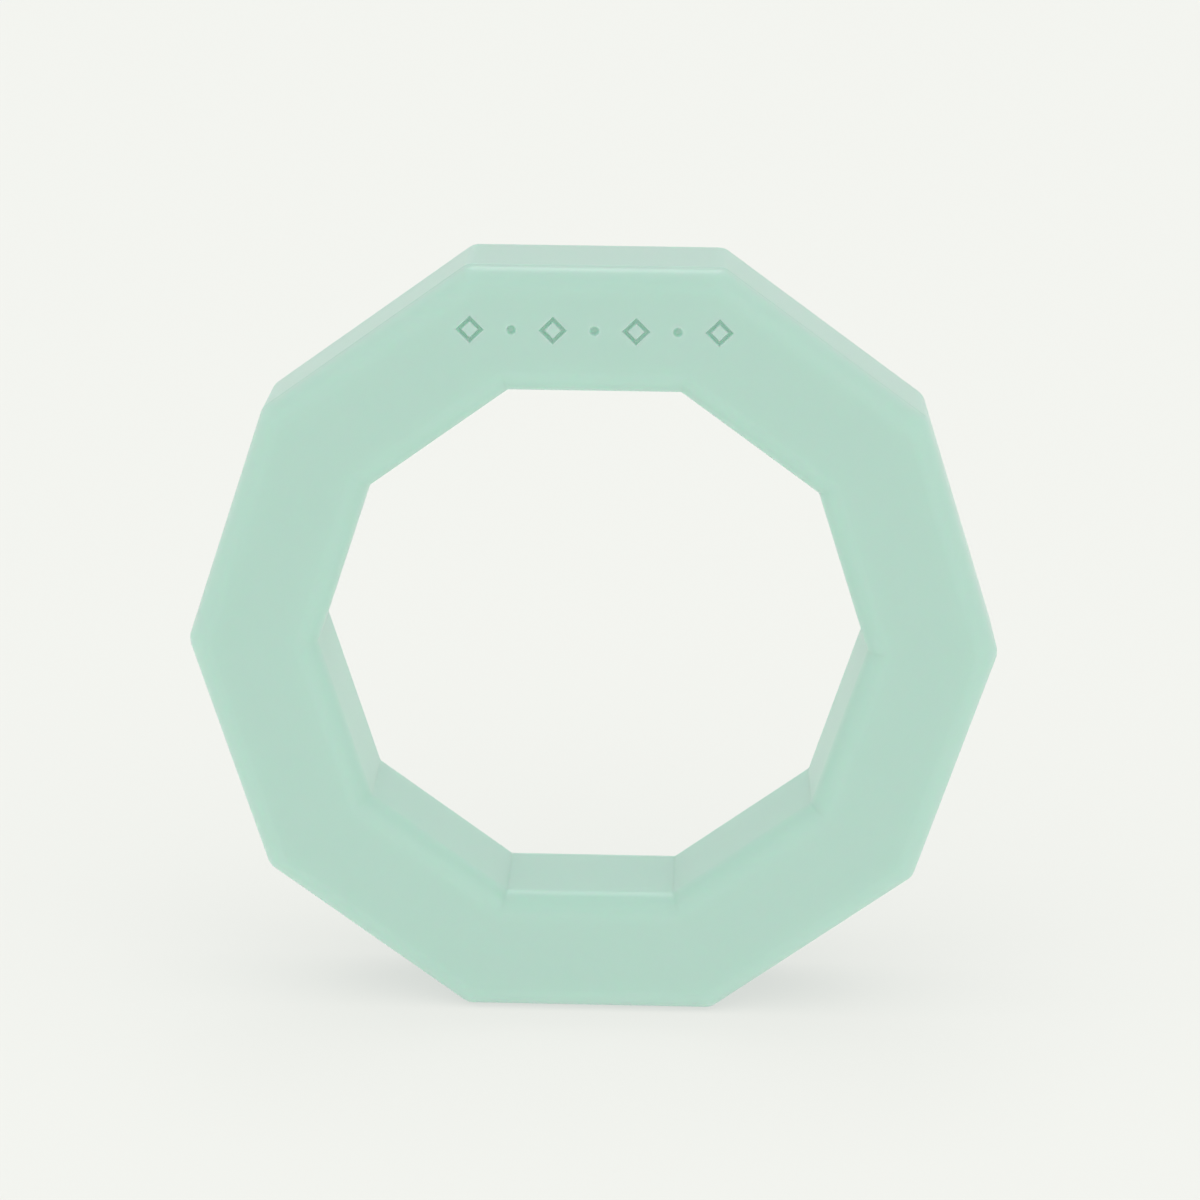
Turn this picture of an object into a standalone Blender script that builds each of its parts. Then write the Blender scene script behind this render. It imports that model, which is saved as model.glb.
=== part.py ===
"""A ten-sided teething ring, moulded in one piece from solid soft rubber.

Units are metres and +Z is up. The ring stands on one of its flat outer sides: the origin is the
middle of that side, and the hole's axis runs along Y, with the decorated face at -Y. The ring is
modelled lying flat about its own Z axis, and then stood up by the object's rotation.
"""

import math

import bmesh
import bpy

# Driving dimensions
SIDES = 10                      # flat sides, outside and round the hole
OUTER_ACROSS_CORNERS = 0.120
HOLE_ACROSS_CORNERS = 0.0814
THICKNESS = 0.022               # from face to face, along the hole's axis
EDGE_RADIUS = 0.0035            # the long edges between the walls and the two faces
EDGE_STEPS = 6                  # flat steps round each of those edges
CORNER_OFFSET = 0.0008          # how far an outer corner's rounding reaches along each wall
HOLE_CORNER_SHARE = 0.36        # the hole's corners are rounded by this share of that
CORNER_STEPS = 3

# The sunk row of ornaments on the front face: diamonds at the odd places, dots between them
ORNAMENTS = 7
ORNAMENT_PITCH = 0.0060
ORNAMENT_DROP = 0.0089          # from the top wall down to the row's middle
ORNAMENT_DEPTH = 0.0006
DIAMOND_HALF_HEIGHT = 0.0016    # to the middle of its groove
GROOVE_WIDTH = 0.0006
DOT_BALL_RADIUS = 0.00083       # the ball that sinks a dot
DOT_SEGMENTS = 24
DOT_RINGS = 12

# Sizes that follow from them
HALF_SIDE_ANGLE = math.pi / SIDES
FLAT_RATIO = math.cos(HALF_SIDE_ANGLE)                      # flat radius over corner radius
OUTER_FLAT_RADIUS = OUTER_ACROSS_CORNERS / 2 * FLAT_RATIO
HOLE_FLAT_RADIUS = HOLE_ACROSS_CORNERS / 2 * FLAT_RATIO
HALF_THICKNESS = THICKNESS / 2
ORNAMENT_RADIUS = OUTER_FLAT_RADIUS - ORNAMENT_DROP         # the row's middle, from the ring's axis
STANDING_ROTATION = (math.pi / 2, 0, 0)                     # turns the ring's own +Z to -Y
STANDING_LOCATION = (0, 0, OUTER_FLAT_RADIUS)

MINT = (0.45, 0.69, 0.57, 1)
MERGE_DISTANCE = 0.00001
CORNER_ANGLE_LIMIT = math.radians(5)                        # flatter edges get no corner rounding
SHARP_ANGLE = math.radians(30)


def clear_scene():
    for item in list(bpy.data.objects):
        bpy.data.objects.remove(item)


def new_collection(name):
    collection = bpy.data.collections.new(name)
    bpy.context.scene.collection.children.link(collection)
    return collection


def rubber_material():
    material = bpy.data.materials.new("mint_rubber")
    material.use_nodes = True
    shader = material.node_tree.nodes["Principled BSDF"]
    shader.inputs["Base Color"].default_value = MINT
    shader.inputs["Roughness"].default_value = 0.45
    shader.inputs["Metallic"].default_value = 0
    return material


def section_points():
    """The ring's cross-section as (flat radius, height), down the outer side and up the inner one."""
    outer = OUTER_FLAT_RADIUS - EDGE_RADIUS
    inner = HOLE_FLAT_RADIUS + EDGE_RADIUS
    top = HALF_THICKNESS - EDGE_RADIUS
    arc_centres = [(outer, top), (outer, -top), (inner, -top), (inner, top)]
    points = []
    for quarter, (centre_radius, centre_height) in enumerate(arc_centres):
        for step in range(EDGE_STEPS + 1):
            angle = math.pi / 2 * (1 - quarter - step / EDGE_STEPS)
            radius = centre_radius + EDGE_RADIUS * math.cos(angle)
            height = centre_height + EDGE_RADIUS * math.sin(angle)
            points.append((radius, height))
    return points


def section_object(collection):
    """The cross-section drawn in the plane of a corner, where every radius is longer than on a flat."""
    section = bmesh.new()
    corners = [section.verts.new((radius / FLAT_RATIO, 0, height)) for radius, height in section_points()]
    for first, second in zip(corners, corners[1:] + corners[:1]):
        section.edges.new((first, second))
    mesh = bpy.data.meshes.new("ring_section")
    section.to_mesh(mesh)
    section.free()
    result = bpy.data.objects.new("ring_section", mesh)
    collection.objects.link(result)
    return result


def applied(source, name, collection):
    """A plain mesh object with everything on the source evaluated; the source is removed."""
    bpy.context.view_layer.update()
    evaluated = source.evaluated_get(bpy.context.evaluated_depsgraph_get())
    mesh = bpy.data.meshes.new_from_object(evaluated)
    mesh.name = name
    result = bpy.data.objects.new(name, mesh)
    result.matrix_world = source.matrix_world
    collection.objects.link(result)
    bpy.data.objects.remove(source)
    return result


def weld(mesh):
    """Joins the corners that lie on each other, such as those of a filled curve and its sides."""
    editing = bmesh.new()
    editing.from_mesh(mesh)
    bmesh.ops.remove_doubles(editing, verts=editing.verts, dist=MERGE_DISTANCE)
    editing.to_mesh(mesh)
    editing.free()


def turned_ring(collection):
    """The section turned about Z in as many steps as there are sides, which mitres every corner."""
    section = section_object(collection)
    screw = section.modifiers.new("ten_sides", "SCREW")
    screw.axis = "Z"
    screw.angle = 2 * math.pi
    screw.steps = SIDES
    screw.render_steps = SIDES
    screw.use_merge_vertices = True
    screw.merge_threshold = MERGE_DISTANCE
    return applied(section, "ring_body", collection)


def mark_corner_edges(mesh):
    """Gives a bevel weight to the edges where two neighbouring sides meet, less round the hole."""
    middle_radius = (OUTER_ACROSS_CORNERS + HOLE_ACROSS_CORNERS) / 4
    editing = bmesh.new()
    editing.from_mesh(mesh)
    weight = editing.edges.layers.float.new("bevel_weight_edge")
    for edge in editing.edges:
        turn = [math.atan2(corner.co.y, corner.co.x) for corner in edge.verts]
        across_section = math.isclose(math.cos(turn[0] - turn[1]), 1, abs_tol=1e-6)
        if across_section and edge.calc_face_angle() > CORNER_ANGLE_LIMIT:
            outside = edge.verts[0].co.xy.length > middle_radius
            edge[weight] = 1 if outside else HOLE_CORNER_SHARE
    editing.to_mesh(mesh)
    editing.free()


def round_corners(ring):
    mark_corner_edges(ring.data)
    bevel = ring.modifiers.new("rounded_corners", "BEVEL")
    bevel.limit_method = "WEIGHT"
    bevel.offset_type = "OFFSET"
    bevel.width = CORNER_OFFSET
    bevel.segments = CORNER_STEPS


def diamond_outline(curve, half_height):
    """Adds a closed diamond to a flat curve."""
    outline = curve.splines.new("POLY")
    outline.points.add(3)
    for index, point in enumerate(outline.points):
        angle = math.pi / 2 * index
        point.co = (half_height * math.cos(angle), half_height * math.sin(angle), 0, 1)
    outline.use_cyclic_u = True


def diamond_cutter(name, place, collection):
    """A diamond frame, filled between two outlines, that sinks a flat-bottomed groove."""
    reach = GROOVE_WIDTH / 2 * math.sqrt(2)                 # half the groove's width, along a diagonal
    curve = bpy.data.curves.new(name, "CURVE")
    curve.dimensions = "2D"
    curve.fill_mode = "BOTH"
    curve.extrude = ORNAMENT_DEPTH
    diamond_outline(curve, DIAMOND_HALF_HEIGHT + reach)
    diamond_outline(curve, DIAMOND_HALF_HEIGHT - reach)
    drawn = bpy.data.objects.new(name, curve)
    drawn.location = (place, ORNAMENT_RADIUS, HALF_THICKNESS)
    collection.objects.link(drawn)
    cutter = applied(drawn, name, collection)
    weld(cutter.data)
    return cutter


def dot_cutter(name, place, collection):
    """A ball that sinks a round dimple."""
    shape = bmesh.new()
    bmesh.ops.create_uvsphere(shape, u_segments=DOT_SEGMENTS, v_segments=DOT_RINGS, radius=DOT_BALL_RADIUS)
    mesh = bpy.data.meshes.new(name)
    shape.to_mesh(mesh)
    shape.free()
    ball = bpy.data.objects.new(name, mesh)
    ball.location = (place, ORNAMENT_RADIUS, HALF_THICKNESS + DOT_BALL_RADIUS - ORNAMENT_DEPTH)
    collection.objects.link(ball)
    return ball


def sink_ornaments(ring, cutters):
    """Cuts the row of ornaments, each with its own cutter, into the front face."""
    middle = (ORNAMENTS - 1) / 2
    for index in range(ORNAMENTS):
        place = (index - middle) * ORNAMENT_PITCH
        if index % 2 == 0:
            cutter = diamond_cutter(f"diamond_cutter_{index}", place, cutters)
        else:
            cutter = dot_cutter(f"dot_cutter_{index}", place, cutters)
        cutter.parent = ring
        cutter.hide_render = True
        cutter.display_type = "WIRE"
        cut = ring.modifiers.new(f"ornament_{index}", "BOOLEAN")
        cut.operation = "DIFFERENCE"
        cut.solver = "EXACT"
        cut.object = cutter


def build():
    clear_scene()
    parts = new_collection("teething_ring")
    cutters = new_collection("cutters")
    ring = turned_ring(parts)
    round_corners(ring)
    sink_ornaments(ring, cutters)
    ring.data.materials.append(rubber_material())
    ring.data.shade_smooth()
    ring.data.set_sharp_from_angle(angle=SHARP_ANGLE)
    ring.location = STANDING_LOCATION
    ring.rotation_euler = STANDING_ROTATION


build()
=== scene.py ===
"""The looks of a ten-sided teething ring in mint rubber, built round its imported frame."""

import math

import bmesh
import bpy
import numpy as np
from mathutils import Matrix, Vector


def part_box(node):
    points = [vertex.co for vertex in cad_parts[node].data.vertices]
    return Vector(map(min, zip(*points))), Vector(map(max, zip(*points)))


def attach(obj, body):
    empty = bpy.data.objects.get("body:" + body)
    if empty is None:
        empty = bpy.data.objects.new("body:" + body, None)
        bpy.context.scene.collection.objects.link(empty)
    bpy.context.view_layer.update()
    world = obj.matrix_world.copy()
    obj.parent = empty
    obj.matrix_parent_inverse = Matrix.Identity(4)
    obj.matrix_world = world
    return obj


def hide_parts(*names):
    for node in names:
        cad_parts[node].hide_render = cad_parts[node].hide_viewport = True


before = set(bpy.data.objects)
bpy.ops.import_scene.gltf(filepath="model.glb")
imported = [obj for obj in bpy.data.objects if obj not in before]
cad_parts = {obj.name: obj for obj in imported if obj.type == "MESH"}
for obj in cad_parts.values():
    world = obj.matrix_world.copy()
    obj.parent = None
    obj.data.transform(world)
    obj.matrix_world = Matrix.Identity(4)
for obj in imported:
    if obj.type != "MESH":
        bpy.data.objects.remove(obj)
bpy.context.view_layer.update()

# ---------------------------------------------------------------- the ring's sizes, in metres

SIDES = 10
RING_ACROSS_CORNERS = 0.120                            # before its corners are rounded
HOLE_ACROSS_CORNERS = 0.0814
SIDE_ANGLE = 2 * math.pi / SIDES
SIDE_SLOPE = math.tan(SIDE_ANGLE / 2)                  # half a side's length over its flat radius
RING_LOW, RING_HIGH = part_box("ring_body")
OUTER_FLAT = (RING_HIGH.z - RING_LOW.z) / 2            # from the axis to the middle of an outer side
HOLE_FLAT = OUTER_FLAT * HOLE_ACROSS_CORNERS / RING_ACROSS_CORNERS
HALF_THICKNESS = (RING_HIGH.y - RING_LOW.y) / 2
CENTRE = Vector((0, 0, RING_LOW.z + OUTER_FLAT))

EDGE_RADIUS = 0.0035                                   # long edges between the walls and the faces
OUTER_CORNER_RADIUS = 0.0025                           # where two outer sides meet
HOLE_CORNER_RADIUS = 0.0009                            # where two sides of the hole meet
PARTING_STEP = 0.00007                                 # the front half of the mould is this much smaller
PARTING_SHIFT = Vector((0.00004, -0.00006))            # and this much off line, across and up
PARTING_WIDTH = 0.00020

EDGE_ROWS = 14
WALL_ROWS = 6
FACE_ROWS = 6
STEP_ROWS = 4
SIDE_COLUMNS = 10
CORNER_COLUMNS = 8

# The sunk row of ornaments on the front face: diamonds at the odd places, dots between them
ORNAMENTS = 7
ORNAMENT_PITCH = 0.0060
ORNAMENT_DROP = 0.0089                                 # from the top wall down to the row's middle
ORNAMENT_HEIGHT = OUTER_FLAT - ORNAMENT_DROP           # the row's middle, above the ring's axis
DIAMOND_HALF_HEIGHT = 0.0016
GROOVE_HALF_WIDTH = 0.00034
DOT_HALF_WIDTH = 0.00080
ORNAMENT_DEPTH = 0.00060
RIM_SHARE = 0.55                                       # how much of a groove's half width is its wall
STRIP_STEP = 0.00008                                   # mesh spacing in the decorated strip
STRIP_HALF_HEIGHT = 0.0022
STRIP_HALF_LENGTH = (ORNAMENTS - 1) / 2 * ORNAMENT_PITCH + STRIP_HALF_HEIGHT


def direction(angle):
    return np.array((math.cos(angle), math.sin(angle)))


def smooth_step(share):
    """Eases a share between 0 and 1, level at both ends."""
    return share ** 2 * (3 - 2 * share)


# ---------------------------------------------------------------- the ring's mesh


def ring_columns():
    """Each column's anchor, which grows with the flat radius, and its outward direction."""
    columns = []
    for side in range(SIDES):
        normal_angle = math.pi / 2 - side * SIDE_ANGLE
        outward = direction(normal_angle)
        along = direction(normal_angle - math.pi / 2)
        for share in np.linspace(-1, 1, SIDE_COLUMNS + 1):
            columns.append((outward + share * SIDE_SLOPE * along, outward))
        corner = direction(normal_angle - SIDE_ANGLE / 2) / math.cos(SIDE_ANGLE / 2)
        for turn in np.linspace(0, SIDE_ANGLE, CORNER_COLUMNS + 1)[1:-1]:
            columns.append((corner, direction(normal_angle - turn)))
    return columns


def rounded_edge(flat_radius, height, first_angle, last_angle):
    """A quarter-round edge in the cross-section, as rows of (flat radius, y, outward part, y part)."""
    rows = []
    for angle in np.linspace(first_angle, last_angle, EDGE_ROWS + 1):
        radial, axial = direction(angle)
        rows.append((flat_radius + EDGE_RADIUS * radial, height + EDGE_RADIUS * axial, radial, axial))
    return rows


def parting_line(height):
    """The small smooth step where the two halves of the mould met, from the front to the back."""
    rows = []
    for share in np.linspace(0, 1, STEP_ROWS + 1):
        rise = PARTING_STEP * smooth_step(share)
        slope = PARTING_STEP * 6 * share * (1 - share) / PARTING_WIDTH
        length = math.hypot(1, slope)
        row_y = height + share * PARTING_WIDTH
        rows.append((OUTER_FLAT - PARTING_STEP + rise, row_y, 1 / length, -slope / length))
    return rows


def straight_rows(start, end, count, normal):
    """Rows strictly between two points of the cross-section."""
    shares = np.linspace(0, 1, count + 1)[1:-1]
    return [tuple(np.add(start, share * np.subtract(end, start))) + normal for share in shares]


def corner_radius(flat_radius):
    """The rounding between two sides, which changes from the outside to the hole across the faces."""
    return float(np.interp(
        flat_radius,
        (HOLE_FLAT + EDGE_RADIUS, OUTER_FLAT - EDGE_RADIUS),
        (HOLE_CORNER_RADIUS, OUTER_CORNER_RADIUS),
    ))


def section_rows():
    """The cross-section, from the front face's outer border round the back to its hole border."""
    outer = OUTER_FLAT - EDGE_RADIUS
    hole = HOLE_FLAT + EDGE_RADIUS
    front = -HALF_THICKNESS + EDGE_RADIUS
    back = HALF_THICKNESS - EDGE_RADIUS
    quarter = math.pi / 2
    rows = rounded_edge(outer - PARTING_STEP, front, -quarter, 0)
    moulded_in_front = len(rows)
    rows += parting_line(front + PARTING_WIDTH)
    rows += straight_rows((OUTER_FLAT, rows[-1][1]), (OUTER_FLAT, back), WALL_ROWS, (1, 0))
    rows += rounded_edge(outer, back, 0, quarter)
    rows += straight_rows((outer, HALF_THICKNESS), (hole, HALF_THICKNESS), FACE_ROWS, (0, 1))
    rows += rounded_edge(hole, back, quarter, 2 * quarter)
    rows += straight_rows((HOLE_FLAT, back), (HOLE_FLAT, front), WALL_ROWS, (-1, 0))
    rows += rounded_edge(hole, front, 2 * quarter, 3 * quarter)
    return rows, moulded_in_front


def swept_surface():
    """Points and normals of the ring without its front face, as a grid of rows by columns."""
    columns = ring_columns()
    rows, moulded_in_front = section_rows()
    points = []
    normals = []
    for index, (flat_radius, height, radial, axial) in enumerate(rows):
        shift = PARTING_SHIFT if index < moulded_in_front else (0, 0)
        rounding = corner_radius(flat_radius)
        for anchor, outward in columns:
            across, up = (flat_radius - rounding) * anchor + rounding * outward + shift
            points.append((across, height, CENTRE.z + up))
            normal = Vector((radial * outward[0], axial * float(anchor @ outward), radial * outward[1]))
            normals.append(normal.normalized())
    return points, normals, len(rows), len(columns)


def wall_profile(distance, half_width):
    """How deep a sunk shape is, as a share of its depth, at a distance from its middle line."""
    return smooth_step(np.clip((half_width - distance) / (RIM_SHARE * half_width), 0, 1))


def ornament_depth(across, up):
    """The depth of the row of ornaments at points measured from the row's middle."""
    depth = np.zeros_like(across)
    for index in range(ORNAMENTS):
        x = np.abs(across - (index - (ORNAMENTS - 1) / 2) * ORNAMENT_PITCH)
        z = np.abs(up)
        if index % 2 == 0:
            distance = np.abs(x + z - DIAMOND_HALF_HEIGHT) / math.sqrt(2)
            sunk = wall_profile(distance, GROOVE_HALF_WIDTH)
        else:
            sunk = wall_profile(np.hypot(x, z), DOT_HALF_WIDTH)
        depth = np.maximum(depth, ORNAMENT_DEPTH * sunk)
    return depth


def decorated_strip():
    """Points and normals of the fine strip of the front face that holds the ornaments."""
    columns = 2 * round(STRIP_HALF_LENGTH / STRIP_STEP) + 1
    rows = 2 * round(STRIP_HALF_HEIGHT / STRIP_STEP) + 1
    across, up = np.meshgrid(
        np.linspace(-STRIP_HALF_LENGTH, STRIP_HALF_LENGTH, columns),
        np.linspace(-STRIP_HALF_HEIGHT, STRIP_HALF_HEIGHT, rows),
    )
    depth = ornament_depth(across, up)
    slope_up, slope_across = np.gradient(depth, up[:, 0], across[0])
    points = []
    normals = []
    for place in np.ndindex(depth.shape):
        height = -HALF_THICKNESS + depth[place]
        points.append((across[place], height, CENTRE.z + ORNAMENT_HEIGHT + up[place]))
        normals.append(Vector((slope_across[place], -1, slope_up[place])).normalized())
    return points, normals, rows, columns


def grid_faces(rows, columns, first, closed):
    """Four-sided faces of a grid of points; a closed grid joins its last column to its first."""
    faces = []
    for row in range(rows - 1):
        for column in range(columns if closed else columns - 1):
            here = first + row * columns
            after = (column + 1) % columns
            faces.append((here + column, here + after, here + columns + after, here + columns + column))
    return faces


def fill_front_face(mesh):
    """Fills the flat area between the swept surface and the decorated strip."""
    editing = bmesh.new()
    editing.from_mesh(mesh)
    borders = [edge for edge in editing.edges if edge.is_boundary]
    bmesh.ops.triangle_fill(editing, edges=borders, use_beauty=True, normal=(0, -1, 0))
    bmesh.ops.recalc_face_normals(editing, faces=editing.faces)
    editing.to_mesh(mesh)
    editing.free()


def ring_piece():
    points, normals, rows, columns = swept_surface()
    strip_points, strip_normals, strip_rows, strip_columns = decorated_strip()
    faces = grid_faces(rows, columns, 0, closed=True)
    faces += grid_faces(strip_rows, strip_columns, len(points), closed=False)
    mesh = bpy.data.meshes.new("moulded_ring")
    mesh.from_pydata(points + strip_points, [], faces)
    fill_front_face(mesh)
    mesh.shade_smooth()
    mesh.normals_split_custom_set_from_vertices(normals + strip_normals)
    ring = bpy.data.objects.new("moulded_ring", mesh)
    bpy.context.scene.collection.objects.link(ring)
    return ring


# ---------------------------------------------------------------- materials

MINT = (0.516, 0.739, 0.653, 1)
PALE_MINT = (0.528, 0.749, 0.665, 1)
RUBBER_ROUGHNESS = (0.33, 0.41)
RUBBER_IOR = 1.5
GLOW_WEIGHT = 0.8                                      # the light that scatters under the surface
GLOW_RADIUS = (0.6, 1.0, 0.8)
GLOW_DEPTH = 0.0035
CLOUD_SCALE = 55                                       # faint clouds in the tint
CLOUD_DETAIL = 3
GRAIN_SCALE = 2600                                     # the moulded surface's fine grain
GRAIN_DETAIL = 4
GRAIN_STRENGTH = 0.12
GRAIN_HEIGHT = 0.00004
FLOOR_COLOUR = (0.12, 0.12, 0.12, 1)
FLOOR_GLOW_COLOUR = (0.619, 0.634, 0.611, 1)
FLOOR_ROUGHNESS = 0.9


def new_material(name):
    material = bpy.data.materials.new(name)
    material.use_nodes = True
    shader = material.node_tree.nodes["Principled BSDF"]
    return material, material.node_tree, shader


def noise_node(tree, scale, detail):
    place = tree.nodes.new("ShaderNodeTexCoord")
    noise = tree.nodes.new("ShaderNodeTexNoise")
    noise.inputs["Scale"].default_value = scale
    noise.inputs["Detail"].default_value = detail
    tree.links.new(place.outputs["Object"], noise.inputs["Vector"])
    return noise


def ranged(tree, source, low, high):
    """A node that stretches a 0 to 1 value to a range."""
    stretch = tree.nodes.new("ShaderNodeMapRange")
    stretch.inputs["To Min"].default_value = low
    stretch.inputs["To Max"].default_value = high
    tree.links.new(source, stretch.inputs["Value"])
    return stretch.outputs["Result"]


def mint_rubber():
    material, tree, shader = new_material("mint_rubber")
    clouds = noise_node(tree, CLOUD_SCALE, CLOUD_DETAIL)
    tint = tree.nodes.new("ShaderNodeMix")
    tint.data_type = "RGBA"
    tint.inputs["A"].default_value = MINT
    tint.inputs["B"].default_value = PALE_MINT
    tree.links.new(clouds.outputs["Fac"], tint.inputs["Factor"])
    tree.links.new(tint.outputs["Result"], shader.inputs["Base Color"])
    grain = noise_node(tree, GRAIN_SCALE, GRAIN_DETAIL)
    roughness = ranged(tree, grain.outputs["Fac"], *RUBBER_ROUGHNESS)
    tree.links.new(roughness, shader.inputs["Roughness"])
    bump = tree.nodes.new("ShaderNodeBump")
    bump.inputs["Strength"].default_value = GRAIN_STRENGTH
    bump.inputs["Distance"].default_value = GRAIN_HEIGHT
    tree.links.new(grain.outputs["Fac"], bump.inputs["Height"])
    tree.links.new(bump.outputs["Normal"], shader.inputs["Normal"])
    shader.inputs["IOR"].default_value = RUBBER_IOR
    shader.inputs["Subsurface Weight"].default_value = GLOW_WEIGHT
    shader.inputs["Subsurface Radius"].default_value = GLOW_RADIUS
    shader.inputs["Subsurface Scale"].default_value = GLOW_DEPTH
    return material


def floor_material():
    """A matt floor that also glows, as a backlit sweep does, so that shadows on it stay soft."""
    material, tree, shader = new_material("pale_floor")
    shader.inputs["Base Color"].default_value = FLOOR_COLOUR
    shader.inputs["Roughness"].default_value = FLOOR_ROUGHNESS
    shader.inputs["Specular IOR Level"].default_value = 0
    shader.inputs["Emission Color"].default_value = FLOOR_GLOW_COLOUR
    shader.inputs["Emission Strength"].default_value = 1
    return material


# ---------------------------------------------------------------- stage, light and camera

FLOOR_RADII = (0.5, 1.5, 4.0)                          # the mesh rows of the floor's flat middle
SWEEP_DEPTH = 2.0
SWEEP_HEIGHT = 0.9
SWEEP_ROWS = 12
SWEEP_COLUMNS = 96
SOFTBOXES = (                                          # name, azimuth, elevation, width, strength
    ("back_softbox", 0, 55, 25, 0.345),
    ("right_front_softbox", 135, 20, 45, 0.33),
    ("left_front_softbox", -135, 20, 45, 0.16),
    ("left_softbox", -90, 20, 25, 0.09),
    ("front_top_softbox", 180, 45, 25, 0.05),
)
FLOOR_LIGHT = ("floor_light", 180, 74, 90, 4.7)        # kept off the ring, as a flagged lamp is
FLOOR_LIGHT_COLOUR = (1.0, 0.97, 0.88)
SKY_COLOUR = (0.735, 0.735, 0.720, 1)
SKY_STRENGTH = 1.0
CAMERA_DISTANCE = 0.5674
CAMERA_YAW = math.radians(1.606)
CAMERA_PITCH = math.radians(16.238)
CAMERA_ROLL = math.radians(0.537)
CAMERA_LENS = 113.37
AIM_RIGHT = 0.0009
AIM_UP = 0.00455


def sweep_profile():
    """The floor's radius and height, flat in the middle and curving up at the rim like a sweep."""
    rows = [(radius, 0) for radius in FLOOR_RADII]
    for turn in np.linspace(0, math.pi / 2, SWEEP_ROWS + 1)[1:]:
        out = FLOOR_RADII[-1] + SWEEP_DEPTH * math.sin(turn)
        rows.append((out, SWEEP_HEIGHT * (1 - math.cos(turn))))
    return rows


def make_floor():
    rows = sweep_profile()
    points = []
    for radius, height in rows:
        for turn in np.linspace(0, 2 * math.pi, SWEEP_COLUMNS, endpoint=False):
            points.append((radius * math.sin(turn), radius * math.cos(turn), RING_LOW.z + height))
    faces = grid_faces(len(rows), SWEEP_COLUMNS, 0, closed=True)
    faces.append(tuple(reversed(range(SWEEP_COLUMNS))))
    mesh = bpy.data.meshes.new("floor")
    mesh.from_pydata(points, [], faces)
    mesh.shade_smooth()
    mesh.materials.append(floor_material())
    floor = bpy.data.objects.new("floor", mesh)
    bpy.context.scene.collection.objects.link(floor)
    return floor


def make_sky():
    world = bpy.data.worlds.new("studio")
    world.use_nodes = True
    background = world.node_tree.nodes["Background"]
    background.inputs["Color"].default_value = SKY_COLOUR
    background.inputs["Strength"].default_value = SKY_STRENGTH
    bpy.context.scene.world = world


def softbox(name, azimuth, elevation, width, strength):
    """A far round softbox, in degrees; azimuth 0 is behind the ring and 90 to the front's right."""
    turn = math.radians(azimuth)
    rise = math.radians(elevation)
    towards = Vector((math.cos(rise) * math.sin(turn), math.cos(rise) * math.cos(turn), math.sin(rise)))
    light = bpy.data.lights.new(name, "SUN")
    light.angle = math.radians(width)
    light.energy = strength
    lamp = bpy.data.objects.new(name, light)
    lamp.rotation_euler = towards.to_track_quat("Z", "Y").to_euler()
    bpy.context.scene.collection.objects.link(lamp)
    return lamp


def light_floor_only(floor):
    """A wide light from above for the floor alone, which leaves a tight shadow under the ring."""
    lit = bpy.data.collections.new("lit_by_floor_light")
    lit.objects.link(floor)
    lamp = softbox(*FLOOR_LIGHT)
    lamp.data.color = FLOOR_LIGHT_COLOUR
    lamp.light_linking.receiver_collection = lit


def make_camera():
    back = Vector((
        math.sin(CAMERA_YAW) * math.cos(CAMERA_PITCH),
        -math.cos(CAMERA_YAW) * math.cos(CAMERA_PITCH),
        math.sin(CAMERA_PITCH),
    ))
    level = Vector((0, 0, 1)).cross(back).normalized()
    upright = back.cross(level)
    right = math.cos(CAMERA_ROLL) * level + math.sin(CAMERA_ROLL) * upright
    up = back.cross(right)
    place = CENTRE + CAMERA_DISTANCE * back + AIM_RIGHT * right + AIM_UP * up
    data = bpy.data.cameras.new("camera")
    data.lens = CAMERA_LENS
    camera = bpy.data.objects.new("camera", data)
    camera.matrix_world = Matrix((
        (right.x, up.x, back.x, place.x),
        (right.y, up.y, back.y, place.y),
        (right.z, up.z, back.z, place.z),
        (0, 0, 0, 1),
    ))
    bpy.context.scene.collection.objects.link(camera)
    bpy.context.scene.camera = camera


bpy.context.scene.view_settings.view_transform = "Standard"
make_camera()
make_sky()
for setting in SOFTBOXES:
    softbox(*setting)
light_floor_only(make_floor())

ring = ring_piece()
ring.data.materials.append(mint_rubber())
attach(ring, "root")
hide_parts("ring_body")
